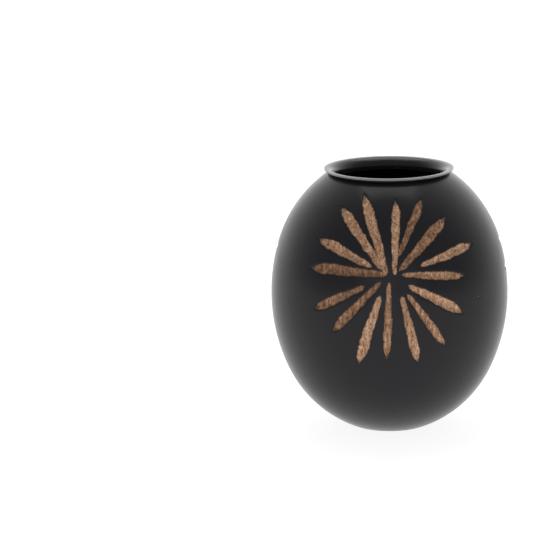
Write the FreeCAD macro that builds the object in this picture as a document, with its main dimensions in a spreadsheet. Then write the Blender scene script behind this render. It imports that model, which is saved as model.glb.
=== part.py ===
import FreeCAD, Part
import Sketcher
import math
import os

# A round black pot with three gouged sunbursts: a hollow turned body, a flared neck collar
# glued into its top and a plug glued into its foot.
# Millimetres, +Z up. The origin is the centre of the foot, on the surface that the pot stands on.

Vector = FreeCAD.Vector

SIZES = {
    # outside of the body
    "belly_radius": 115.3,      # the widest part
    "belly_height": 130.5,      # its height above the foot
    "foot_radius": 39.3,        # outer edge of the foot
    "foot_turn": 6.8,           # degrees that the wall turns in at the foot, past one plain arc
    "foot_fullness": 1.155,     # how much flatter the wall is at the belly than one plain arc
    "neck_radius": 58.7,        # crease between shoulder and neck
    "body_height": 249.6,       # top rim of the body, where the collar seats
    "shoulder_turn": 4.7,       # the same at the neck
    "shoulder_fullness": 1.175,
    "wall": 8.0,
    # neck collar
    "seat_width": 3.6,          # the body's rim outside the spigot, which the collar sits on
    "spigot_wall": 3.5,         # the ring that goes down into the body
    "spigot_length": 7.0,
    "lip_flare": 4.1,           # how far the lip stands out past the neck
    "lip_rise": 4.4,            # from the body's rim to the top of the lip
    "lip_edge": 1.4,            # thickness of the lip's outer edge
    "lip_dish": 0.2,            # how much lower the lip is at its inner edge
    "roll_width": 10.0,         # the rounded turn from the lip into the throat
    "roll_height": 8.8,
    # base plug
    "ring_width": 7.45,         # the ring that the pot stands on
    "shelf_width": 5.0,         # the step in the floor that the flange lies against
    "plug_flange": 3.0,
    "plug_recess": 1.0,         # gap between the flange and the surface the pot stands on
    "glue_gap": 0.15,
    # gouge cuts
    "cut_share": 0.32,          # greatest depth of a cut, over the wall's bulge along its length
}

# The bursts are drawn on paper wrapped round the belly: millimetres to the right of a burst's
# centre and up from it along the wall. A cut is (tip, root, width). The paper reaches from the
# belly up to the neck and down to the foot, and is stretched to reach them on another pot.
PAPER_ABOVE = 137.42
PAPER_BELOW = 160.27
FRONT_CUTS = [
    ((-39, 85), (-2, 1), 12.0),
    ((10, 79), (5, 1), 10.0),
    ((49, 78), (9, 19), 9.5),
    ((73, 55), (9, 5), 12.5),
    ((96, 24), (30, 9), 11.0),
    ((78, -5), (11, 2), 10.0),
    ((73, -40), (17, -8), 12.0),
    ((55, -71), (16, -16), 10.0),
    ((28, -87), (11, -17), 11.0),
    ((-3, -84), (0, -4), 9.5),
    ((-31, -88), (-8, -17), 12.5),
    ((-56, -57), (-7, -4), 11.0),
    ((-75, -36), (-22, -9), 11.0),
    ((-84, 3), (-2, 2), 12.5),
    ((-81, 32), (-16, 9), 12.0),
    ((-67, 68), (-6, 6), 12.0),
]
LEFT_CUTS = [
    ((2, 59), (1, 8), 10.0),
    ((31, 61), (5, 10), 9.0),
    ((54, 47), (9, 8), 10.0),
    ((65, 28), (11, 5), 10.0),
    ((60, 0), (9, 0), 8.0),
    ((56, -32), (9, -5), 9.0),
    ((41, -48), (6, -7), 11.0),
    ((26, -66), (4, -9), 9.5),
    ((2, -71), (1, -8), 12.0),
    ((-21, -72), (-4, -9), 10.0),
    ((-45, -49), (-7, -7), 10.0),
    ((-55, -28), (-9, -5), 9.0),
    ((-55, -2), (-9, 0), 10.0),
    ((-63, 29), (-9, 4), 10.0),
    ((-52, 51), (-6, 8), 10.0),
    ((-29, 61), (-3, 9), 11.0),
]


def even_cuts(count, root, tip, uneven, width):
    """Cuts at even angles, longer and shorter by turns."""
    cuts = []
    for number in range(count):
        angle = 2 * math.pi * number / count
        reach = tip + uneven * math.cos(3 * angle + number % 2)
        cuts.append(((reach * math.sin(angle), reach * math.cos(angle)),
                     (root * math.sin(angle), root * math.cos(angle)), width))
    return cuts


# A burst is (name, degrees round from the front, how far its centre is up the wall from the belly,
# cuts).
BURSTS = [
    ("Front", 0.0, 39.8, FRONT_CUTS),
    ("Left", -117.0, 22.8, LEFT_CUTS),
    ("Right", 121.0, 26.5, even_cuts(16, 11.0, 83.0, 5.0, 11.0)),
]
CUTTER_OVERRUN = 2.0    # a cutter goes on this far past each end of its cut
CUT_PAST = 1.0          # a bore is cut this far past the surfaces that it opens

document = FreeCAD.newDocument("CarvedPot")
sheet = document.addObject("Spreadsheet::Sheet", "Sizes")
for row, (alias, size) in enumerate(SIZES.items(), start=1):
    sheet.set(f"A{row}", alias)
    sheet.set(f"B{row}", str(size))
    sheet.setAlias(f"B{row}", alias)
document.recompute()


def value(expression):
    """The number that an expression on the sheet comes to."""
    result = sheet.evalExpression(expression)
    return float(getattr(result, "Value", result))


def bind(sketch, kind, places, expression):
    """One dimension of a sketch, bound to the sheet."""
    number = sketch.addConstraint(Sketcher.Constraint(kind, *places, value(expression)))
    sketch.setExpression(f"Constraints[{number}]", expression)


def place_point(sketch, edge, end, across, up):
    bind(sketch, "DistanceX", (-1, 1, edge, end), across)
    bind(sketch, "DistanceY", (-1, 1, edge, end), up)


def new_sketch(body, name):
    sketch = body.newObject("Sketcher::SketchObject", name)
    upright = [plane for plane in body.Origin.OriginFeatures if plane.Role == "XZ_Plane"]
    sketch.AttachmentSupport = (upright[0], [""])
    sketch.MapMode = "FlatFace"
    return sketch


def join(sketch, kind, edge, end, next_edge, next_end):
    sketch.addConstraint(Sketcher.Constraint(kind, edge, end, next_edge, next_end))


def turn(body, kind, sketch, name):
    """The solid, or the cut, that a sketch sweeps as the lathe turns."""
    feature = body.newObject(kind, name)
    feature.Profile = sketch
    feature.ReferenceAxis = (sketch, ["V_Axis"])
    feature.Angle = 360
    return feature


def draw_outline(sketch, corners):
    """A closed outline. A corner is (across, up), both expressions. The edge that ends there is
    straight, or an arc if the corner says at which of its ends the arc stands upright."""
    places = [Vector(value(corner[0]), value(corner[1]), 0) for corner in corners]
    for number, corner in enumerate(corners):
        start, end = places[number - 1], places[number]
        if len(corner) == 2:
            sketch.addGeometry(Part.LineSegment(start, end))
        else:
            level, other = (start, end) if corner[2] == "start" else (end, start)
            across, up = other.x - level.x, other.y - level.y
            center = level + Vector((across ** 2 + up ** 2) / (2 * across), 0, 0)
            sketch.addGeometry(arc_between(center, start, end))
    ends = [edge_ends(sketch, number, places[number - 1]) for number in range(len(corners))]
    for number, corner in enumerate(corners):
        place_point(sketch, number, ends[number][1], corner[0], corner[1])
        join(sketch, "Coincident", edge_before(number, corners), ends[number - 1][1],
             number, ends[number][0])
        if len(corner) > 2:
            level = corners[number - 1] if corner[2] == "start" else corner
            bind(sketch, "DistanceY", (-1, 1, number, 3), level[1])


def edge_before(number, corners):
    return number - 1 if number else len(corners) - 1


def edge_ends(sketch, edge, start):
    """The sketcher's numbers of an edge's first and last point: an arc is kept anticlockwise, so
    they may be the other way round."""
    runs_on = (sketch.Geometry[edge].StartPoint - start).Length < 1e-6
    return (1, 2) if runs_on else (2, 1)


def two_arcs(end_radius, end_height, turn_in, fullness):
    """The wall from the belly to one end of the body, as two tangent arcs.

    The first leaves the belly upright, and the second ends turned in past one plain arc. Returns both centres,
    both radii, the point where the arcs meet, across and up, and the length of the two."""
    belly_radius, belly_height = SIZES["belly_radius"], SIZES["belly_height"]
    across, up = belly_radius - end_radius, abs(end_height - belly_height)
    side = math.copysign(1, end_height - belly_height)
    lean = 2 * math.atan2(across, up) + math.radians(turn_in)
    radius = fullness * (across ** 2 + up ** 2) / (2 * across)
    reach = (radius - across) ** 2 + up ** 2
    along = (radius - across) * math.cos(lean) + up * math.sin(lean)
    end_arc = (radius ** 2 - reach) / (2 * (radius - along))
    center = Vector(belly_radius - radius, belly_height, 0)
    end_center = Vector(end_radius - end_arc * math.cos(lean),
                        belly_height + side * (up - end_arc * math.sin(lean)), 0)
    meet = center + (end_center - center).normalize() * radius
    meet_lean = math.asin(abs(meet.y - center.y) / radius)
    length = radius * meet_lean + end_arc * (lean - meet_lean)
    return center, radius, end_center, end_arc, meet, length


SHOULDER = two_arcs(SIZES["neck_radius"], SIZES["body_height"],
                    SIZES["shoulder_turn"], SIZES["shoulder_fullness"])
FOOT = two_arcs(SIZES["foot_radius"], 0.0, SIZES["foot_turn"], SIZES["foot_fullness"])


def wall_point(paper_up):
    """Where the body's outside is, a distance on the paper above or below the belly: its radius,
    its height and how far its normal leans from level."""
    center, radius, end_center, end_arc, meet, length = SHOULDER if paper_up > 0 else FOOT
    side = math.copysign(1, paper_up)
    distance = abs(paper_up) * length / (PAPER_ABOVE if paper_up > 0 else PAPER_BELOW)
    lean = distance / radius
    meet_lean = math.asin(abs(meet.y - center.y) / radius)
    if lean > meet_lean:
        lean = meet_lean + (distance - radius * meet_lean) / end_arc
        center, radius = end_center, end_arc
    return center.x + radius * math.cos(lean), center.y + side * radius * math.sin(lean), side * lean


def arc_between(center, start, end):
    """The short arc about a centre between two points, anticlockwise as a sketch keeps it."""
    first, last = [math.atan2(point.y - center.y, point.x - center.x) for point in (start, end)]
    if (last - first) % (2 * math.pi) > math.pi:
        first, last = last, first
    circle = Part.Circle(center, Vector(0, 0, 1), (start - center).Length)
    return Part.ArcOfCircle(circle, first, first + (last - first) % (2 * math.pi))


# expressions for the wall's lean from upright at its ends, and for the fits between the pieces
FOOT_LEAN = ("(2 * atan((Sizes.belly_radius - Sizes.foot_radius) / Sizes.belly_height)"
             " + Sizes.foot_turn * 1 deg)")
SHOULDER_LEAN = ("(2 * atan((Sizes.belly_radius - Sizes.neck_radius)"
                 " / (Sizes.body_height - Sizes.belly_height)) + Sizes.shoulder_turn * 1 deg)")
SPIGOT_RADIUS = "Sizes.neck_radius - Sizes.seat_width"
THROAT_RADIUS = f"{SPIGOT_RADIUS} - Sizes.spigot_wall"
SPIGOT_BOTTOM = "Sizes.body_height - Sizes.spigot_length"
LIP_RADIUS = "Sizes.neck_radius + Sizes.lip_flare"
LIP_TOP = "Sizes.body_height + Sizes.lip_rise"
RECESS_RADIUS = "Sizes.foot_radius - Sizes.ring_width"
FLOOR_HOLE_RADIUS = f"{RECESS_RADIUS} - Sizes.shelf_width"
SHELF_HEIGHT = "Sizes.plug_recess + Sizes.plug_flange"
FLOOR_HEIGHT = f"Sizes.wall * sin({FOOT_LEAN})"


def draw_body_outline(sketch, inset):
    """Half of the body's section: foot, two arcs up to the belly, two arcs in to the neck, rim.

    The inset is an expression: 0 for the outside, the wall's thickness for the hollow."""
    points = {
        "belly": (f"Sizes.belly_radius - {inset}", "Sizes.belly_height"),
        "foot": (f"Sizes.foot_radius - {inset} * cos({FOOT_LEAN})", f"{inset} * sin({FOOT_LEAN})"),
        "neck": (f"Sizes.neck_radius - {inset} * cos({SHOULDER_LEAN})",
                 f"Sizes.body_height - {inset} * sin({SHOULDER_LEAN})"),
    }
    belly, foot, neck = [Vector(value(across), value(up), 0) for across, up in points.values()]
    rim_axis, base_axis = Vector(0, neck.y, 0), Vector(0, foot.y, 0)
    low_meet, high_meet = [meet - (meet - center).normalize() * value(inset)
                           for center, meet in ((FOOT[0], FOOT[4]), (SHOULDER[0], SHOULDER[4]))]
    foot_arc, low_arc, high_arc, neck_arc, rim, axis, base, foot_spoke, neck_spoke = range(9)
    # each of these arcs runs anticlockwise, from its lower end to its upper one
    sketch.addGeometry(arc_between(FOOT[2], foot, low_meet))
    sketch.addGeometry(arc_between(FOOT[0], low_meet, belly))
    sketch.addGeometry(arc_between(SHOULDER[0], belly, high_meet))
    sketch.addGeometry(arc_between(SHOULDER[2], high_meet, neck))
    sketch.addGeometry(Part.LineSegment(neck, rim_axis))
    sketch.addGeometry(Part.LineSegment(rim_axis, base_axis))
    sketch.addGeometry(Part.LineSegment(base_axis, foot))
    sketch.addGeometry(Part.LineSegment(foot, FOOT[2]), True)
    sketch.addGeometry(Part.LineSegment(SHOULDER[2], neck), True)
    join(sketch, "Tangent", foot_arc, 2, low_arc, 1)
    join(sketch, "Tangent", high_arc, 2, neck_arc, 1)
    join(sketch, "Coincident", low_arc, 2, high_arc, 1)
    join(sketch, "Coincident", neck_arc, 2, rim, 1)
    join(sketch, "Coincident", rim, 2, axis, 1)
    join(sketch, "Coincident", axis, 2, base, 1)
    join(sketch, "Coincident", base, 2, foot_arc, 1)
    join(sketch, "Coincident", foot_spoke, 1, foot_arc, 1)
    join(sketch, "Coincident", foot_spoke, 2, foot_arc, 3)
    join(sketch, "Coincident", neck_spoke, 1, neck_arc, 3)
    join(sketch, "Coincident", neck_spoke, 2, neck_arc, 2)
    place_point(sketch, high_arc, 1, *points["belly"])
    place_point(sketch, foot_arc, 1, *points["foot"])
    place_point(sketch, neck_arc, 2, *points["neck"])
    place_point(sketch, axis, 1, "0", points["neck"][1])
    place_point(sketch, axis, 2, "0", points["foot"][1])
    bind(sketch, "DistanceY", (-1, 1, low_arc, 3), "Sizes.belly_height")
    bind(sketch, "DistanceY", (-1, 1, high_arc, 3), "Sizes.belly_height")
    bind(sketch, "Radius", (low_arc,),
         "Sizes.foot_fullness * ((Sizes.belly_radius - Sizes.foot_radius)^2 + Sizes.belly_height^2)"
         f" / (2 * (Sizes.belly_radius - Sizes.foot_radius)) - {inset}")
    bind(sketch, "Radius", (high_arc,),
         "Sizes.shoulder_fullness * ((Sizes.belly_radius - Sizes.neck_radius)^2"
         " + (Sizes.body_height - Sizes.belly_height)^2)"
         f" / (2 * (Sizes.belly_radius - Sizes.neck_radius)) - {inset}")
    bind_angle(sketch, foot_spoke, f"180 deg - {FOOT_LEAN}")
    bind_angle(sketch, neck_spoke, SHOULDER_LEAN)


def bind_angle(sketch, edge, degrees):
    number = sketch.addConstraint(Sketcher.Constraint("Angle", edge, math.radians(value(degrees))))
    sketch.setExpression(f"Constraints[{number}]", degrees)


def make_turned_body():
    """The hollow body before it is carved."""
    body = document.addObject("PartDesign::Body", "TurnedBody")
    outline = new_sketch(body, "BodyOutline")
    draw_body_outline(outline, "0")
    turn(body, "PartDesign::Revolution", outline, "Turned")
    hollow = new_sketch(body, "HollowOutline")
    draw_body_outline(hollow, "Sizes.wall")
    turn(body, "PartDesign::Groove", hollow, "Hollow")
    bore = new_sketch(body, "NeckBore")
    bore_radius = f"{SPIGOT_RADIUS} + Sizes.glue_gap"
    bore_bottom = f"{SPIGOT_BOTTOM} - Sizes.wall"
    draw_outline(bore, [
        ("0", bore_bottom),
        (bore_radius, bore_bottom),
        (bore_radius, f"Sizes.body_height + {CUT_PAST}"),
        ("0", f"Sizes.body_height + {CUT_PAST}"),
    ])
    turn(body, "PartDesign::Groove", bore, "NeckBoreCut")
    plug_hole = new_sketch(body, "PlugHole")
    draw_outline(plug_hole, [
        ("0", f"-{CUT_PAST}"),
        (RECESS_RADIUS, f"-{CUT_PAST}"),
        (RECESS_RADIUS, SHELF_HEIGHT),
        (FLOOR_HOLE_RADIUS, SHELF_HEIGHT),
        (FLOOR_HOLE_RADIUS, f"{FLOOR_HEIGHT} + {CUT_PAST}"),
        ("0", f"{FLOOR_HEIGHT} + {CUT_PAST}"),
    ])
    turn(body, "PartDesign::Groove", plug_hole, "PlugHoleCut")
    return body


def on_wall(burst_turn, burst_up, point):
    """A point of a burst's paper pattern, on the body, with the wall's outward normal there."""
    radius, height, lean = wall_point(burst_up + point[1])
    turned = math.radians(burst_turn) + point[0] / wall_point(burst_up)[0]
    place = Vector(radius * math.sin(turned), -radius * math.cos(turned), height)
    normal = Vector(math.cos(lean) * math.sin(turned), -math.cos(lean) * math.cos(turned), math.sin(lean))
    return place, normal


def make_cutter(name, burst_turn, burst_up, tip, root, width):
    """A stretch of ring whose inner line runs into the wall at the root and out at the tip.

    Its section is a circle that starts on the side away from the pot, so no seam lies in a cut."""
    start = on_wall(burst_turn, burst_up, tip)[0]
    end = on_wall(burst_turn, burst_up, root)[0]
    halfway = ((tip[0] + root[0]) / 2, (tip[1] + root[1]) / 2)
    crest, normal = on_wall(burst_turn, burst_up, halfway)
    bulge = (crest - (start + end) * 0.5).dot(normal)
    path = Part.Arc(start, crest - normal * (SIZES["cut_share"] * bulge), end).toShape().Curve
    axis = (start - path.Center).cross(end - path.Center).normalize()
    sweep = (start - path.Center).getAngle(end - path.Center)
    overrun = CUTTER_OVERRUN / path.Radius
    outward = FreeCAD.Rotation(axis, -math.degrees(overrun)).multVec(start - path.Center).normalize()
    gouge = document.addObject("Part::Circle", f"{name}Gouge")
    gouge.Placement = FreeCAD.Placement(Vector(), FreeCAD.Rotation(outward, axis, Vector(), "XYZ"))
    depth = f"(Sizes.cut_share * {bulge:.4f})"
    gouge.setExpression("Radius", f"({width}^2 / 4 + {depth}^2) / (2 * {depth})")
    for side in "xyz":
        middle, reach = getattr(path.Center, side), getattr(outward, side)
        gouge.setExpression(f"Placement.Base.{side}",
                            f"{middle:.6f} mm + {reach:.6f} * ({path.Radius:.6f} mm + Radius)")
    cutter = document.addObject("Part::Revolution", f"{name}Cutter")
    cutter.Source = gouge
    cutter.Base, cutter.Axis = path.Center, axis
    cutter.Angle = math.degrees(sweep + 2 * overrun)
    cutter.Solid = True
    return cutter


def make_pot_body():
    """The carved body. Each round makes one cut in every burst, because those never overlap."""
    carved = make_turned_body()
    rounds = zip(*[cuts for name, burst_turn, burst_up, cuts in BURSTS])
    for number, round_cuts in enumerate(rounds, start=1):
        cutters = document.addObject("Part::Compound", f"Cutters{number}")
        cutters.Links = [make_cutter(f"{name}{number}", burst_turn, burst_up, *cut)
                         for (name, burst_turn, burst_up, cuts), cut in zip(BURSTS, round_cuts)]
        next_carved = document.addObject("Part::Cut", f"Round{number}")
        next_carved.Base, next_carved.Tool = carved, cutters
        next_carved.Refine = False
        carved = next_carved
    return carved


def make_neck_collar():
    """The flared mouth ring. Its spigot goes down into the body and its neck seats on the rim."""
    body = document.addObject("PartDesign::Body", "Collar")
    outline = new_sketch(body, "CollarOutline")
    draw_outline(outline, [
        (THROAT_RADIUS, SPIGOT_BOTTOM),
        (SPIGOT_RADIUS, SPIGOT_BOTTOM),
        (SPIGOT_RADIUS, "Sizes.body_height"),
        ("Sizes.neck_radius", "Sizes.body_height"),
        (LIP_RADIUS, f"{LIP_TOP} - Sizes.lip_edge"),
        (LIP_RADIUS, LIP_TOP),
        (f"{THROAT_RADIUS} + Sizes.roll_width", f"{LIP_TOP} - Sizes.lip_dish"),
        (THROAT_RADIUS, f"{LIP_TOP} - Sizes.roll_height", "end"),
    ])
    turn(body, "PartDesign::Revolution", outline, "CollarTurned")
    return body


def make_base_plug():
    """The stepped disc that closes the foot, flush with the floor inside."""
    body = document.addObject("PartDesign::Body", "Plug")
    outline = new_sketch(body, "PlugOutline")
    flange_radius = f"{RECESS_RADIUS} - Sizes.glue_gap"
    step_radius = f"{FLOOR_HOLE_RADIUS} - Sizes.glue_gap"
    draw_outline(outline, [
        ("0", "Sizes.plug_recess"),
        (flange_radius, "Sizes.plug_recess"),
        (flange_radius, SHELF_HEIGHT),
        (step_radius, SHELF_HEIGHT),
        (step_radius, FLOOR_HEIGHT),
        ("0", FLOOR_HEIGHT),
    ])
    turn(body, "PartDesign::Revolution", outline, "PlugTurned")
    return body


subparts = {
    "pot_body": make_pot_body(),
    "neck_collar": make_neck_collar(),
    "base_plug": make_base_plug(),
}
document.recompute()
for thing in document.Objects:
    if "Invalid" in thing.State or "Error" in thing.State:
        raise RuntimeError(f"{thing.Name} failed: {thing.State}")
for label, subpart in subparts.items():
    subpart.Label = label
    if subpart.Shape.isNull() or not subpart.Shape.isValid() or len(subpart.Shape.Solids) != 1:
        raise RuntimeError(f"{label} is not one valid solid")
os.makedirs("parts", exist_ok=True)
for label, subpart in subparts.items():
    subpart.Shape.exportStep(f"parts/{label}.step")
    print(label, round(subpart.Shape.Volume), "mm3", len(subpart.Shape.Faces), "faces")
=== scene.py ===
"""A round turned pot: satin black finish, cut through to bare wood in three sunbursts."""

import math

import bmesh
import bpy
import numpy as np
from mathutils import Euler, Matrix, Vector


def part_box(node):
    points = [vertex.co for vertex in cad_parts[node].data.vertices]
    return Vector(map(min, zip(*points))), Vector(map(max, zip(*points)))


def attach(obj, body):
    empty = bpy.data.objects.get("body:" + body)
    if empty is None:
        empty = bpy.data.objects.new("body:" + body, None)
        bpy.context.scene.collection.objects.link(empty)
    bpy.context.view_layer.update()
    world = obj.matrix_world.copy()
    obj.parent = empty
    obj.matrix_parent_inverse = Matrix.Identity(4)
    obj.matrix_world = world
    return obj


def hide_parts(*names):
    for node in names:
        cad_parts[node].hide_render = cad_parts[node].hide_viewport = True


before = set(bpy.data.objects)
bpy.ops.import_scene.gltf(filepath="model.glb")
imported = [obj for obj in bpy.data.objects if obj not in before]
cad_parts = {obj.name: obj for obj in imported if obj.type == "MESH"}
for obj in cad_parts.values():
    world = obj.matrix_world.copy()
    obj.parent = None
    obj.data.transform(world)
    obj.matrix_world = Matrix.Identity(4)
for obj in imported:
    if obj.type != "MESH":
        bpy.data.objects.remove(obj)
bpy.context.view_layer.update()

# Lengths here are in millimetres, and to_metres() turns finished points into the frame's metres.
MILLIMETRES = 1000.0        # in a metre
body_low, body_high = (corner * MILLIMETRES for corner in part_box("pot_body"))
collar_low, collar_high = (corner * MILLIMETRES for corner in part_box("neck_collar"))

# outside of the body
BELLY_RADIUS = body_high.x
BELLY_HEIGHT = 130.5
FOOT_RADIUS = 39.3
FOOT_TURN = 6.8             # degrees that the wall turns in past one plain arc
FOOT_FULLNESS = 1.155
NECK_RADIUS = 58.7
BODY_HEIGHT = body_high.z
SHOULDER_TURN = 4.7
SHOULDER_FULLNESS = 1.175
WALL = 8.0
# neck collar
LIP_RADIUS = collar_high.x
LIP_HEIGHT = collar_high.z
LIP_EDGE = 1.4
LIP_DISH = 0.2
LIP_ROUNDING = 0.45
ROLL_WIDTH = 10.0
ROLL_HEIGHT = 8.8
SEAT_WIDTH = 3.6            # the rebate that the collar sits on
SPIGOT_WALL = 3.5
SPIGOT_RADIUS = NECK_RADIUS - SEAT_WIDTH
THROAT_RADIUS = SPIGOT_RADIUS - SPIGOT_WALL
SPIGOT_BOTTOM = collar_low.z
GLUE_GAP = 0.15
# opening in the foot
RING_WIDTH = 7.45           # the foot's standing ring
SHELF_WIDTH = 5.0
RECESS_RADIUS = FOOT_RADIUS - RING_WIDTH
FLOOR_HOLE_RADIUS = RECESS_RADIUS - SHELF_WIDTH
PLUG_SHELF = 4.0            # top of the recess that the plug's flange lies in

# A burst lies on the wall like paper: millimetres to the right of its centre and up the wall.
# A cut is (tip, root, width).
FRONT_CUTS = [
    ((-39, 85), (-2, 1), 12.0),
    ((10, 79), (5, 1), 10.0),
    ((49, 78), (9, 19), 9.5),
    ((73, 55), (9, 5), 12.5),
    ((96, 24), (30, 9), 11.0),
    ((78, -5), (11, 2), 10.0),
    ((73, -40), (17, -8), 12.0),
    ((55, -71), (16, -16), 10.0),
    ((28, -87), (11, -17), 11.0),
    ((-3, -84), (0, -4), 9.5),
    ((-31, -88), (-8, -17), 12.5),
    ((-56, -57), (-7, -4), 11.0),
    ((-75, -36), (-22, -9), 11.0),
    ((-84, 3), (-2, 2), 12.5),
    ((-81, 32), (-16, 9), 12.0),
    ((-67, 68), (-6, 6), 12.0),
]
LEFT_CUTS = [
    ((2, 59), (1, 8), 10.0),
    ((31, 61), (5, 10), 9.0),
    ((54, 47), (9, 8), 10.0),
    ((65, 28), (11, 5), 10.0),
    ((60, 0), (9, 0), 8.0),
    ((56, -32), (9, -5), 9.0),
    ((41, -48), (6, -7), 11.0),
    ((26, -66), (4, -9), 9.5),
    ((2, -71), (1, -8), 12.0),
    ((-21, -72), (-4, -9), 10.0),
    ((-45, -49), (-7, -7), 10.0),
    ((-55, -28), (-9, -5), 9.0),
    ((-55, -2), (-9, 0), 10.0),
    ((-63, 29), (-9, 4), 10.0),
    ((-52, 51), (-6, 8), 10.0),
    ((-29, 61), (-3, 9), 11.0),
]


def even_cuts(count, root, tip, uneven, width):
    """Cuts at even angles, longer and shorter by turns."""
    cuts = []
    for number in range(count):
        angle = 2 * math.pi * number / count
        reach = tip + uneven * math.cos(3 * angle + number % 2)
        cuts.append(((reach * math.sin(angle), reach * math.cos(angle)),
                     (root * math.sin(angle), root * math.cos(angle)), width))
    return cuts


# (degrees round from the front, how far the centre is up the wall from the belly, where a cut is
# widest as a share of its length, cuts)
BURSTS = [
    (0.0, 39.8, 0.66, FRONT_CUTS),
    (-117.0, 22.8, 0.52, LEFT_CUTS),
    (121.0, 26.5, 0.62, even_cuts(count=16, root=11.0, tip=83.0, uneven=5.0, width=11.0)),
]
# slips of the tool beside the front burst
NICKS = [
    ((93, -26), (90, -27), 2.2),
    ((86, -27), (84.5, -28), 1.6),
    ((-33, -93), (-31, -91.5), 2.0),
    ((-37, -92), (-36, -91), 1.5),
]
CUT_DEPTH = 0.23            # depth of a cut, as a share of its width
FAR_OUTSIDE = -9.0          # how far outside every cut a plain piece of wall counts as
NEAR_A_CUT = 15             # past a cut's ends, the reach within which the wall is measured
GLOW_REACH = 36.0           # from a burst's centre, where its sheen has mostly faded
FIRST_SEED = 100
WALL_STEP = 0.5             # between points of the wall's section


# ---- shapes ----

def to_metres(points):
    return np.asarray(points, float) / MILLIMETRES


def unit(vector):
    return vector / np.linalg.norm(vector)


def arc(center, radius, start, end, step):
    """Points along an arc in the lathe's half plane, from one angle to another, in radians."""
    count = max(2, math.ceil(abs(end - start) * radius / step) + 1)
    angles = np.linspace(start, end, count)
    return np.column_stack([center[0] + radius * np.cos(angles),
                            center[1] + radius * np.sin(angles)])


def half_wall(end_radius, end_height, turn_in, fullness, inset=0.0):
    """The wall from the belly to one end: one wide arc, then a tighter one tangent to it.
    Each row is a point and the lean of the wall's normal."""
    across, up = BELLY_RADIUS - end_radius, abs(end_height - BELLY_HEIGHT)
    side = math.copysign(1.0, end_height - BELLY_HEIGHT)
    lean = 2 * math.atan2(across, up) + math.radians(turn_in)
    wide = fullness * (across**2 + up**2) / (2 * across)
    reach = (wide - across) ** 2 + up**2
    along = (wide - across) * math.cos(lean) + up * math.sin(lean)
    tight = (wide**2 - reach) / (2 * (wide - along))
    wide_center = np.array([BELLY_RADIUS - wide, 0.0])
    tight_center = np.array([end_radius - tight * math.cos(lean), up - tight * math.sin(lean)])
    toward = tight_center - wide_center
    meet = math.atan2(toward[1], toward[0])
    rows = []
    for center, radius, start, end in ((wide_center, wide, 0.0, meet),
                                       (tight_center, tight, meet, lean)):
        points = arc(center, radius - inset, start, end, WALL_STEP)
        leans = np.linspace(start, end, len(points))
        rows.append(np.column_stack([points[:, 0], BELLY_HEIGHT + side * points[:, 1], side * leans]))
    return np.vstack([rows[0], rows[1][1:]])


def whole_wall(inset=0.0):
    """The wall from the foot up to the neck."""
    foot = half_wall(FOOT_RADIUS, 0.0, FOOT_TURN, FOOT_FULLNESS, inset)
    shoulder = half_wall(NECK_RADIUS, BODY_HEIGHT, SHOULDER_TURN, SHOULDER_FULLNESS, inset)
    return np.vstack([foot[::-1], shoulder[1:]])


def lengths_along(points):
    steps = np.linalg.norm(np.diff(points[:, :2], axis=0), axis=1)
    return np.concatenate([[0.0], np.cumsum(steps)])


OUTSIDE = whole_wall()
OUTSIDE_LENGTHS = lengths_along(OUTSIDE)
FOOT_LENGTH = float(np.interp(0.0, OUTSIDE[:, 2], OUTSIDE_LENGTHS))     # from the foot to the belly


def wall_at(distance):
    """Radius, height and lean of the outside, at a distance along it from the belly."""
    return [np.interp(FOOT_LENGTH + distance, OUTSIDE_LENGTHS, column) for column in OUTSIDE.T]


def on_wall(turned, distance):
    """The point on the outside and its normal, at an angle from the front and a distance up."""
    radius, height, lean = wall_at(distance)
    point = np.array([radius * math.sin(turned), -radius * math.cos(turned), height])
    normal = np.array([math.cos(lean) * math.sin(turned), -math.cos(lean) * math.cos(turned),
                       math.sin(lean)])
    return point, normal


# ---- cuts ----

class Roughness:
    """Smooth random numbers from -1 to 1 along a line, the same on every run."""

    def __init__(self, seed):
        self.values = np.random.default_rng(seed).uniform(-1.0, 1.0, 4096)

    def at(self, place):
        cell = np.floor(place).astype(int)
        share = place - cell
        share = share * share * (3 - 2 * share)
        size = len(self.values)
        return self.values[cell % size] * (1 - share) + self.values[(cell + 1) % size] * share


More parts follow.
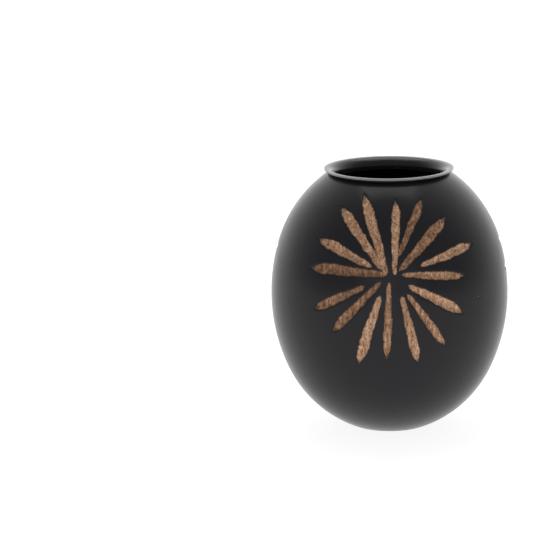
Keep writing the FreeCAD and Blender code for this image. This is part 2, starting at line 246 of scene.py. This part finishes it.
class Cut:
    """One pull of the gouge, in the plane through its two ends and the wall's normal."""

    def __init__(self, burst_turn, burst_up, widest, tip, root, width, seed):
        turned = math.radians(burst_turn)
        self.width, self.widest = width, widest
        burst_radius = wall_at(burst_up)[0]
        (start, start_normal), (end, end_normal) = (
            on_wall(turned + point[0] / burst_radius, burst_up + point[1]) for point in (root, tip))
        self.start, self.length = start, float(np.linalg.norm(end - start))
        self.forward = unit(end - start)
        self.across = unit(np.cross(self.forward, start_normal + end_normal))
        self.out = np.cross(self.across, self.forward)
        self.rough = Roughness(seed)
        self.tone = float(np.random.default_rng(seed).uniform(0.0, 1.0))

    def measure(self, points):
        """For points on the wall: how far inside the cut they are, how deep it is there and how far
        along it they lie."""
        offset = points - self.start
        along = offset @ self.forward
        aside = offset @ self.across
        run = along / self.length
        before = np.clip(1 - run / self.widest, 0.0, 1.0)
        after = np.clip((run - self.widest) / (1.0 - self.widest), 0.0, 1.0)
        entry = np.clip(2.5 * along / self.width, 0.0, 1.0) ** 0.5
        half = 0.44 * self.width * np.where(run < self.widest, entry * (1 - 0.5 * before**1.3),
                                            (1 - after**2.2) ** 0.8)
        side = np.where(aside > 0, 1000.0, 0.0)
        half_rough = half * (1 + 0.10 * self.rough.at(along / 4.1 + side)
                             + 0.08 * self.rough.at(along / 1.3 + 2 * side + 77))
        drift = 0.35 * self.rough.at(along / 9.0 + 333)
        past_end = np.maximum(np.maximum(-along, along - self.length), 0.0)
        aside = aside + drift
        inside = half_rough - np.hypot(aside, past_end) - 0.001
        floor = np.clip(1 - (aside / np.maximum(half_rough, 0.01)) ** 2, 0.0, 1.0)
        deep = CUT_DEPTH * self.width * np.clip(2 * half / self.width, 0.0, 1.0) ** 1.2
        ridges = 1 + 0.12 * self.rough.at(along / 2.3 + 555) + 0.10 * self.rough.at(aside / 1.1 + 999)
        depth = np.where(past_end > 0, 0.0, deep * floor**0.8 * ridges)
        behind = offset @ self.out < -0.5 * self.length - 20
        return np.where(behind, FAR_OUTSIDE, inside), np.where(behind, 0.0, depth), run


def all_cuts():
    cuts = []
    for burst_turn, burst_up, widest, ends in BURSTS:
        for tip, root, width in ends:
            cuts.append(Cut(burst_turn, burst_up, widest, tip, root, width, FIRST_SEED + len(cuts)))
    front_turn, front_up = BURSTS[0][:2]
    for tip, root, width in NICKS:
        cuts.append(Cut(front_turn, front_up, 0.5, tip, root, width, FIRST_SEED + len(cuts)))
    return cuts


CUTS = all_cuts()


def carve(points):
    """What the cuts do at points of the wall: distance inside, depth, run along the cut, tone."""
    inside = np.full(len(points), FAR_OUTSIDE)
    depth, run, tone = np.zeros(len(points)), np.zeros(len(points)), np.zeros(len(points))
    for cut in CUTS:
        middle = cut.start + 0.5 * cut.length * cut.forward
        near = np.flatnonzero(np.linalg.norm(points - middle, axis=1) < 0.5 * cut.length + NEAR_A_CUT)
        cut_inside, cut_depth, cut_run = cut.measure(points[near])
        wins = cut_inside > inside[near]
        run[near[wins]] = cut_run[wins]
        tone[near[wins]] = cut.tone
        inside[near] = np.maximum(inside[near], cut_inside)
        depth[near] = np.maximum(depth[near], cut_depth)
    return inside, depth, run, tone


def nearness_to_bursts(points):
    """1 at the middle of a burst, falling to 0 outside it."""
    nearness = np.zeros(len(points))
    for burst_turn, burst_up, _, _ in BURSTS:
        middle, _ = on_wall(math.radians(burst_turn), burst_up)
        nearness += np.exp(-(np.linalg.norm(points - middle, axis=1) / GLOW_REACH) ** 2)
    return nearness


# ---- body ----

COLUMNS = 224
ROW_STEP = 3.2
SEAM_TURN = math.radians(187.0)     # where no cut runs
FINE_LEVELS = (-3.2, -1.4)          # each is how far outside a cut the wall is still divided again


def body_profile():
    """The rest of the body's closed section after the outside: down the inside from the neck, round
    the foot's opening, out to the foot's outer edge.
    """
    inside = whole_wall(WALL)
    bore = SPIGOT_RADIUS + GLUE_GAP
    inner = inside[(inside[:, 1] < BODY_HEIGHT - 2 * WALL) | (inside[:, 0] > bore)][::-1]
    floor_height = inside[0, 1]
    rest = [(bore, BODY_HEIGHT), (bore, inner[0, 1])]
    rest += [tuple(point) for point in inner[::12, :2]]
    rest += [(inner[-1, 0], floor_height)]
    rest += [(FLOOR_HOLE_RADIUS, floor_height), (FLOOR_HOLE_RADIUS, PLUG_SHELF),
             (RECESS_RADIUS, PLUG_SHELF), (RECESS_RADIUS, 0.0), (FOOT_RADIUS, 0.0)]
    return np.array(rest)


def flat_grid(columns, stations):
    """A sheet of quads: x is the column and y the station along the section."""
    sheet = bmesh.new()
    rows = [[sheet.verts.new((column, station, 0.0)) for column in range(columns + 1)]
            for station in stations]
    for lower, upper in zip(rows, rows[1:]):
        for column in range(columns):
            sheet.faces.new((lower[column], lower[column + 1], upper[column + 1], upper[column]))
    return sheet


def make_body():
    outside_length = OUTSIDE_LENGTHS[-1]
    rest = body_profile()
    section = np.vstack([OUTSIDE[:, :2], rest])
    stations = lengths_along(section)
    leans = np.concatenate([OUTSIDE[:, 2], np.zeros(len(rest))])
    rows = np.concatenate([
        np.linspace(0.0, outside_length, math.ceil(outside_length / ROW_STEP) + 1),
        stations[len(OUTSIDE):]])
    sheet = flat_grid(COLUMNS, rows)

    def places():
        flat = np.array([vertex.co for vertex in sheet.verts])
        turned = SEAM_TURN + 2 * math.pi * flat[:, 0] / COLUMNS
        radius, height, lean = (np.interp(flat[:, 1], stations, column)
                                for column in (section[:, 0], section[:, 1], leans))
        points = np.column_stack([radius * np.sin(turned), -radius * np.cos(turned), height])
        normals = np.column_stack([np.cos(lean) * np.sin(turned), -np.cos(lean) * np.cos(turned),
                                   np.sin(lean)])
        return points, normals, flat[:, 1] < outside_length - 0.01

    def carved(points, outer):
        inside, depth, run, tone = carve(points)
        inside[~outer] = FAR_OUTSIDE
        depth[~outer] = 0.0
        return inside, depth, run, tone

    for margin in FINE_LEVELS:
        points, _, outer = places()
        inside = carved(points, outer)[0]
        sheet.verts.index_update()
        close = [face for face in sheet.faces
                 if max(inside[vertex.index] for vertex in face.verts) > margin]
        edges = list({edge for face in close for edge in face.edges})
        bmesh.ops.subdivide_edges(sheet, edges=edges, cuts=1, use_grid_fill=True)
    points, normals, outer = places()
    inside, depth, run, tone = carved(points, outer)
    points = to_metres(points - normals * depth[:, None])
    nearness = nearness_to_bursts(points * MILLIMETRES)
    for vertex, point in zip(sheet.verts, points):
        vertex.co = point
    mesh = bpy.data.meshes.new("pot_shell")
    sheet.to_mesh(mesh)
    sheet.free()
    for name, values in (("cut_inside", inside), ("cut_run", run), ("cut_tone", tone),
                         ("burst_nearness", nearness)):
        mesh.attributes.new(name, "FLOAT", "POINT").data.foreach_set("value", values)
    return finished(mesh, "pot_shell", 50.0)


def finished(mesh, name, crease_degrees):
    """A mesh with its seams joined and smooth shading, as an object in the scene."""
    joined = bmesh.new()
    joined.from_mesh(mesh)
    bmesh.ops.remove_doubles(joined, verts=joined.verts, dist=1e-6)
    bmesh.ops.recalc_face_normals(joined, faces=joined.faces)
    joined.to_mesh(mesh)
    joined.free()
    mesh.shade_smooth()
    mesh.set_sharp_from_angle(angle=math.radians(crease_degrees))
    piece = bpy.data.objects.new(name, mesh)
    bpy.context.scene.collection.objects.link(piece)
    return piece


def make_turned(name, section, columns, crease_degrees):
    """A ring turned from a closed section."""
    section = np.vstack([section, section[:1]])
    sheet = flat_grid(columns, range(len(section)))
    for vertex in sheet.verts:
        turned = 2 * math.pi * vertex.co.x / columns
        radius, height = to_metres(section[round(vertex.co.y)])
        vertex.co = (radius * math.sin(turned), -radius * math.cos(turned), height)
    mesh = bpy.data.meshes.new(name)
    sheet.to_mesh(mesh)
    sheet.free()
    return finished(mesh, name, crease_degrees)


# ---- neck collar ----

def upright_arc(start, end, step):
    """An arc from a point where it runs upright to another point, higher and farther out."""
    (start_radius, start_height), (end_radius, end_height) = start, end
    across, up = end_radius - start_radius, end_height - start_height
    radius = (across**2 + up**2) / (2 * across)
    center = (start_radius + radius, start_height)
    return arc(center, radius, math.pi, math.atan2(up, end_radius - center[0]), step)


def make_collar():
    edge_bottom = LIP_HEIGHT - LIP_EDGE
    underside = np.linspace((NECK_RADIUS, BODY_HEIGHT), (LIP_RADIUS, edge_bottom), 9)
    soft = LIP_ROUNDING
    lower_edge = arc((LIP_RADIUS - soft, edge_bottom + soft), soft, -math.pi / 3, 0.0, 0.12)
    upper_edge = arc((LIP_RADIUS - soft, LIP_HEIGHT - soft), soft, 0.0, math.pi / 2, 0.12)
    inner_edge = THROAT_RADIUS + ROLL_WIDTH
    roll = upright_arc((THROAT_RADIUS, LIP_HEIGHT - ROLL_HEIGHT),
                       (inner_edge, LIP_HEIGHT - LIP_DISH), 0.4)[::-1]
    throat = [(THROAT_RADIUS, SPIGOT_BOTTOM), (SPIGOT_RADIUS, SPIGOT_BOTTOM),
              (SPIGOT_RADIUS, BODY_HEIGHT)]
    section = np.vstack([underside[:-1], lower_edge, upper_edge, roll, throat])
    return make_turned("lip_ring", section, 320, 40.0)


# ---- finishes ----

def plug(tree, socket, item):
    """Links a value to a socket, or sets the socket to a number or a colour."""
    if isinstance(item, Value):
        tree.links.new(item.socket, socket)
    else:
        socket.default_value = item


class Value:
    """A node's output, which can be used in sums."""

    def __init__(self, tree, socket):
        self.tree, self.socket = tree, socket

    def maths(self, operation, *items):
        node = self.tree.nodes.new("ShaderNodeMath")
        node.operation = operation
        for socket, item in zip(node.inputs, items):
            plug(self.tree, socket, item)
        return Value(self.tree, node.outputs[0])

    def __add__(self, other):
        return self.maths("ADD", self, other)

    def __sub__(self, other):
        return self.maths("SUBTRACT", self, other)

    def __rsub__(self, other):
        return self.maths("SUBTRACT", other, self)

    def __mul__(self, other):
        return self.maths("MULTIPLY", self, other)

    __radd__, __rmul__ = __add__, __mul__


class Tree:
    """The nodes of a material or of the world."""

    def __init__(self, owner):
        owner.use_nodes = True
        self.tree = owner.node_tree
        self.tree.nodes.clear()

    def node(self, kind, settings=None, values=None, output=0):
        """Adds a node: its settings, then its sockets' values or links. Gives one of its outputs."""
        made = self.tree.nodes.new(kind)
        for name, setting in (settings or {}).items():
            if name == "stops":
                self.set_stops(made.color_ramp, setting)
            else:
                setattr(made, name, setting)
        for name, item in (values or {}).items():
            plug(self.tree, made.inputs[name], item)
        return Value(self.tree, made.outputs[output]) if made.outputs else made

    def set_stops(self, ramp, stops):
        while len(ramp.elements) < len(stops):
            ramp.elements.new(0.5)
        for element, (position, colour) in zip(ramp.elements, stops):
            element.position = position
            element.color = colour

    def attribute(self, name):
        return self.node("ShaderNodeAttribute", {"attribute_name": name}, output="Fac")

    def stretched(self, across, up):
        """Object coordinates scaled by one number across the axis and another along it."""
        place = self.node("ShaderNodeTexCoord", output="Object")
        return self.node("ShaderNodeVectorMath", {"operation": "MULTIPLY"},
                         {0: place, 1: (across, across, up)})

    def noise(self, across, up=None, detail=2.0, roughness=0.5):
        """Noise whose grains are 1/across metres wide and 1/up metres tall."""
        return self.node("ShaderNodeTexNoise", {}, {
            "Vector": self.stretched(across, up or across), "Scale": 1.0, "Detail": detail,
            "Roughness": roughness}, output="Fac")

    def step(self, item, low, high):
        """0 where item is under low, 1 over high, and smooth between them."""
        return self.node("ShaderNodeMapRange", {"interpolation_type": "SMOOTHSTEP"},
                         {"Value": item, "From Min": low, "From Max": high})

    def ramp(self, item, stops):
        return self.node("ShaderNodeValToRGB", {"stops": stops}, {"Fac": item})

    def from_axis(self):
        """Distance from the pot's axis, in metres."""
        return self.node("ShaderNodeVectorMath", {"operation": "LENGTH"},
                         {0: self.stretched(1.0, 0.0)}, output=1)

    def blend(self, share, first, second):
        return self.node("ShaderNodeMix", {"data_type": "RGBA"}, {0: share, 6: first, 7: second},
                         output=2)

    def bump(self, height, distance):
        return self.node("ShaderNodeBump", {}, {"Height": height, "Distance": distance})

    def surface(self, values):
        shader = self.node("ShaderNodeBsdfPrincipled", {}, values)
        self.node("ShaderNodeOutputMaterial", {}, {"Surface": shader})


def colour(red, green, blue):
    """A colour given as it looks, 0 to 255, as the shader's linear numbers."""
    def linear(level):
        share = level / 255.0
        return share / 12.92 if share <= 0.04045 else ((share + 0.055) / 1.055) ** 2.4
    return (linear(red), linear(green), linear(blue), 1.0)


LACQUER = colour(34, 33, 36)
# pale black: rubbed wear on the lip, and the painted sheen round each burst's middle
LACQUER_WEAR_AND_SHEEN = colour(62, 61, 66)
LACQUER_SHINE = 0.24        # roughness
LACQUER_MIRROR = 0.20       # specular level
# painted highlight along the lip's thin edge
PAINTED_EDGE_HIGHLIGHT = colour(150, 150, 152)
WOOD_SPECK = colour(48, 34, 26)
# painted shade along the walls of each cut
WOOD_RIM_SHADE = colour(52, 38, 29)
WOOD_SCORCHED = colour(44, 33, 27)
WOOD_ROUGHNESS = 0.72


def wood_colour(tree, tone):
    """Bare wood with an upright grain, mottled light and dark."""
    grain = tree.noise(420.0, 38.0, 4.0, 0.6)
    fibres = tree.noise(1500.0, 160.0, 2.0)
    mottle = tree.noise(300.0, 220.0, 4.0, 0.7)
    level = 0.42 * grain + 0.22 * fibres + 0.42 * mottle + 0.16 * tone - 0.1
    return tree.ramp(level, [(0.28, colour(76, 52, 36)), (0.42, colour(134, 98, 72)),
                             (0.55, colour(192, 148, 116)), (0.70, colour(245, 204, 170))])


def carved_finish():
    """Satin black that gives way to bare wood inside the cuts."""
    material = bpy.data.materials.new("satin_black_over_wood")
    tree = Tree(material)
    inside, run, tone, nearness = (tree.attribute(name) for name in (
        "cut_inside", "cut_run", "cut_tone", "burst_nearness"))
    fray = tree.noise(900.0, 500.0, 3.0, 0.65) - 0.5
    ends = tree.step(run, 0.80, 1.0) + 0.6 * (1 - tree.step(run, 0.0, 0.05))
    bare = tree.step(inside + fray * (1.3 + 4.0 * ends) - 1.1 * ends, 0.05, 0.45)
    specks = tree.step(tree.noise(1000.0, 420.0, 2.0), 0.56, 0.64)
    wood = wood_colour(tree, tone)
    wood = tree.blend(0.75 * specks, wood, WOOD_SPECK)
    scorched = tree.step(ends + 0.9 * (fray + 0.1), 0.35, 1.1)
    # painted shade: the bare wood darkens along each cut's edge, down its walls
    rim_shade = 1 - tree.step(inside + 2.2 * fray, 0.3, 1.5)
    wood = tree.blend(0.6 * rim_shade, wood, WOOD_RIM_SHADE)
    wood = tree.blend(0.8 * scorched, wood, WOOD_SCORCHED)
    # painted sheen: the black turns paler in soft patches round the middle of each burst
    painted_sheen = tree.step(nearness * (0.6 + 0.8 * tree.noise(55.0)), 0.25, 1.1)
    lacquer = tree.blend(0.45 * painted_sheen, LACQUER, LACQUER_WEAR_AND_SHEEN)
    shine = LACQUER_SHINE + 0.10 * (tree.noise(30.0, 30.0, 3.0) - 0.5)
    rough = shine * (1 - bare) + WOOD_ROUGHNESS * bare
    peel = tree.bump(tree.noise(160.0, 160.0, 2.0), 0.00006)
    torn = tree.noise(800.0, 300.0, 4.0, 0.7) * bare
    bumps = tree.node("ShaderNodeBump", {}, {"Height": torn, "Distance": 0.0008, "Strength": 0.7,
                                             "Normal": peel})
    tree.surface({"Base Color": tree.blend(bare, lacquer, wood), "Roughness": rough,
                  "Specular IOR Level": LACQUER_MIRROR, "Normal": bumps})
    return material


def collar_finish():
    """The same black on the lip, rubbed a little paler, with a painted highlight of pale grey all
    round its thin edge.
    """
    material = bpy.data.materials.new("satin_black_lip")
    tree = Tree(material)
    rubbed = tree.step(tree.noise(90.0, 90.0, 4.0, 0.6), 0.45, 0.8)
    base = tree.blend(0.4 * rubbed, LACQUER, LACQUER_WEAR_AND_SHEEN)
    # painted highlight: the lip's outermost millimetre or so turns pale grey all round
    edge = tree.step(tree.from_axis() * MILLIMETRES, LIP_RADIUS - 1.5, LIP_RADIUS - 0.5)
    base = tree.blend(edge, base, PAINTED_EDGE_HIGHLIGHT)
    tree.surface({"Base Color": base, "Specular IOR Level": LACQUER_MIRROR + 0.1,
                  "Roughness": LACQUER_SHINE - 0.06 + 0.08 * rubbed,
                  "Normal": tree.bump(tree.noise(200.0), 0.00004)})
    return material


RING_TURNS = 5200.0         # radians that the rings' sine turns through in a metre


def plug_finish():
    """Bare wood with the lathe's fine rings."""
    material = bpy.data.materials.new("bare_plug_wood")
    tree = Tree(material)
    from_axis = tree.from_axis()
    rings = from_axis.maths("SINE", from_axis * RING_TURNS)
    wood = wood_colour(tree, 0.4)
    tree.surface({"Base Color": wood, "Roughness": 0.6 + 0.08 * tree.noise(400.0),
                  "Normal": tree.bump(rings, 0.00005)})
    return material


# ---- studio ----

AIM = Vector((0.0, 0.0, 0.128))
CAMERA_DISTANCE = 2.5
CAMERA_ELEVATION = math.radians(13.2)
CAMERA_LENS = 172.44
# The pot stands to the right of the view's middle and a little below it, and leans by a fifth of
# a degree.
CAMERA_TURNS = [math.radians(degrees) for degrees in (0.617, 2.753, -0.186)]


def make_camera():
    data = bpy.data.cameras.new("camera")
    data.lens = CAMERA_LENS
    data.sensor_width = 36.0
    camera = bpy.data.objects.new("camera", data)
    bpy.context.scene.collection.objects.link(camera)
    back = Vector((0.0, -math.cos(CAMERA_ELEVATION), math.sin(CAMERA_ELEVATION)))
    camera.location = AIM + CAMERA_DISTANCE * back
    look = back.to_track_quat("Z", "Y")
    camera.rotation_euler = (look @ Euler(CAMERA_TURNS).to_quaternion()).to_euler()
    bpy.context.scene.camera = camera


def make_floor():
    """A pale floor that gives off light of its own, which leaves only a faint shadow."""
    mesh = bpy.data.meshes.new("floor")
    reach = 6.0
    corners = [(-reach, -reach, 0), (reach, -reach, 0), (reach, reach, 0), (-reach, reach, 0)]
    mesh.from_pydata(corners, [], [(0, 1, 2, 3)])
    floor = bpy.data.objects.new("floor", mesh)
    bpy.context.scene.collection.objects.link(floor)
    material = bpy.data.materials.new("pale_floor")
    Tree(material).surface({"Base Color": (0.2, 0.2, 0.2, 1.0), "Roughness": 0.9,
                            "Emission Color": (1.0, 1.0, 1.0, 1.0), "Emission Strength": 0.9})
    mesh.materials.append(material)


def make_surroundings():
    """A white tent: brightest behind the pot, dimmer in front of it, and plain white to look at."""
    world = bpy.data.worlds.new("white_tent")
    bpy.context.scene.world = world
    tree = Tree(world)
    direction = tree.node("ShaderNodeTexCoord", output="Generated")
    backward = tree.node("ShaderNodeSeparateXYZ", {}, {0: direction}, output="Y")
    behind = tree.step(backward, -0.35, 1.0)
    seen = tree.node("ShaderNodeLightPath", output="Is Camera Ray")
    strength = (0.33 + 1.1 * behind) * (1 - seen) + 1.05 * seen
    background = tree.node("ShaderNodeBackground", {}, {"Color": (1, 1, 1, 1), "Strength": strength})
    tree.node("ShaderNodeOutputWorld", {}, {"Surface": background})


def make_light(name, place, size, watts):
    data = bpy.data.lights.new(name, "AREA")
    data.shape = "SQUARE"
    data.size = size
    data.energy = watts
    light = bpy.data.objects.new(name, data)
    light.location = place
    light.rotation_euler = (AIM - Vector(place)).to_track_quat("-Z", "Y").to_euler()
    bpy.context.scene.collection.objects.link(light)


# ---- making ----

make_camera()
make_floor()
make_surroundings()
make_light("top_softbox", (0.0, 0.5, 1.9), 1.4, 12.0)
bpy.context.scene.view_settings.view_transform = "Standard"

for piece, node, material, slot in (
        (make_body(), "pot_body", carved_finish(), "black_body"),
        (make_collar(), "neck_collar", collar_finish(), "black_collar")):
    piece.data.materials.clear()
    piece.data.materials.append(material)
    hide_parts(node)
    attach(piece, "root")
base_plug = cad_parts["base_plug"]
base_plug.data.materials.clear()
base_plug.data.materials.append(plug_finish())
